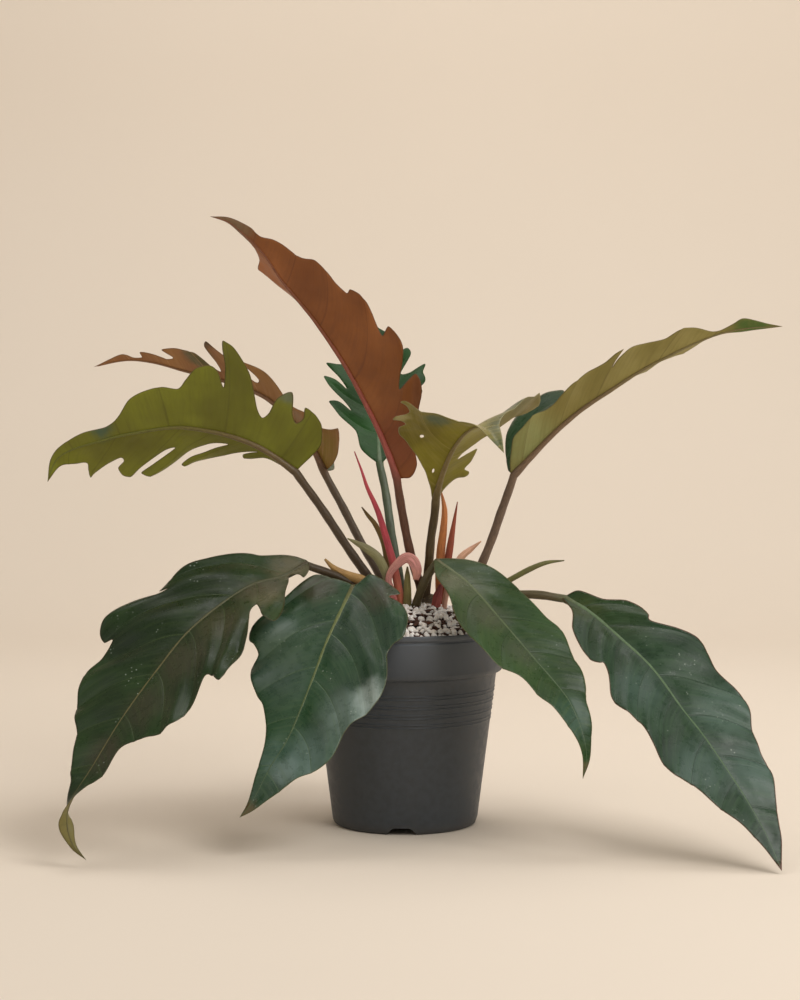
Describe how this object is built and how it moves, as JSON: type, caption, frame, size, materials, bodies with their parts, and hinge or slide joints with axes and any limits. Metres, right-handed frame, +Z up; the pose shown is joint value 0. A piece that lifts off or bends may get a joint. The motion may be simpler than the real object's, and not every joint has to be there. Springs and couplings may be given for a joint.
{
  "type": "potted pluto philodendron",
  "caption": "Potted philodendron with deeply lobed, pointed leaves on long stalks, in a tapered dark nursery pot.",
  "frame": {"origin": "middle of the foot of the pot, on the surface that it stands on", "axes": "+Z up, -Y towards the viewer of the picture, +X to the viewer's right"},
  "size_m": [0.6191, 0.4207, 0.5153],
  "materials": {
    "pot": "matt moulded dark grey",
    "potting_mix": "damp bark mix with white perlite",
    "stem": "dull",
    "stalk_front_left": "satin",
    "stalk_front_right": "satin",
    "stalk_low_left": "satin",
    "stalk_low_right": "satin",
    "stalk_forward": "satin",
    "stalk_tall": "satin",
    "stalk_left": "satin",
    "stalk_right": "satin",
    "stalk_back_left": "satin",
    "stalk_back": "satin",
    "leaf_front_left": "satin",
    "leaf_front_right": "satin",
    "leaf_low_left": "satin",
    "leaf_low_right": "satin",
    "leaf_forward": "satin",
    "leaf_tall": "satin",
    "leaf_left": "satin",
    "leaf_right": "satin",
    "leaf_back_left": "satin",
    "leaf_back": "satin",
    "new_leaf": "satin",
    "sheath_curl": "dull",
    "sheath_green": "dull",
    "sheath_olive": "dull",
    "sheath_tan": "dry, dull",
    "sheath_pink": "satin",
    "sheath_pale": "dull",
    "sheath_thin": "dull",
    "sheath_orange": "dry, dull",
    "sheath_red": "dry, dull",
    "sheath_brown": "dry, dull"
  },
  "bodies": {
    "root": {"pot": "pot", "soil": "potting_mix", "crown_left": "stem", "crown_right": "stem", "stalk_front_left": "stalk_front_left", "stalk_front_right": "stalk_front_right", "stalk_low_left": "stalk_low_left", "stalk_low_right": "stalk_low_right", "stalk_forward": "stalk_forward", "stalk_tall": "stalk_tall", "stalk_left": "stalk_left", "stalk_right": "stalk_right", "stalk_back_left": "stalk_back_left", "stalk_back": "stalk_back", "leaf_front_left": "leaf_front_left", "leaf_front_right": "leaf_front_right", "leaf_low_left": "leaf_low_left", "leaf_low_right": "leaf_low_right", "leaf_forward": "leaf_forward", "leaf_tall": "leaf_tall", "leaf_left": "leaf_left", "leaf_right": "leaf_right", "leaf_back_left": "leaf_back_left", "leaf_back": "leaf_back", "new_leaf": "new_leaf", "sheath_curl": "sheath_curl", "sheath_green": "sheath_green", "sheath_olive": "sheath_olive", "sheath_tan": "sheath_tan", "sheath_pink": "sheath_pink", "sheath_pale": "sheath_pale", "sheath_thin": "sheath_thin", "sheath_orange": "sheath_orange", "sheath_red": "sheath_red", "sheath_brown": "sheath_brown"}
  },
  "joints": []
}
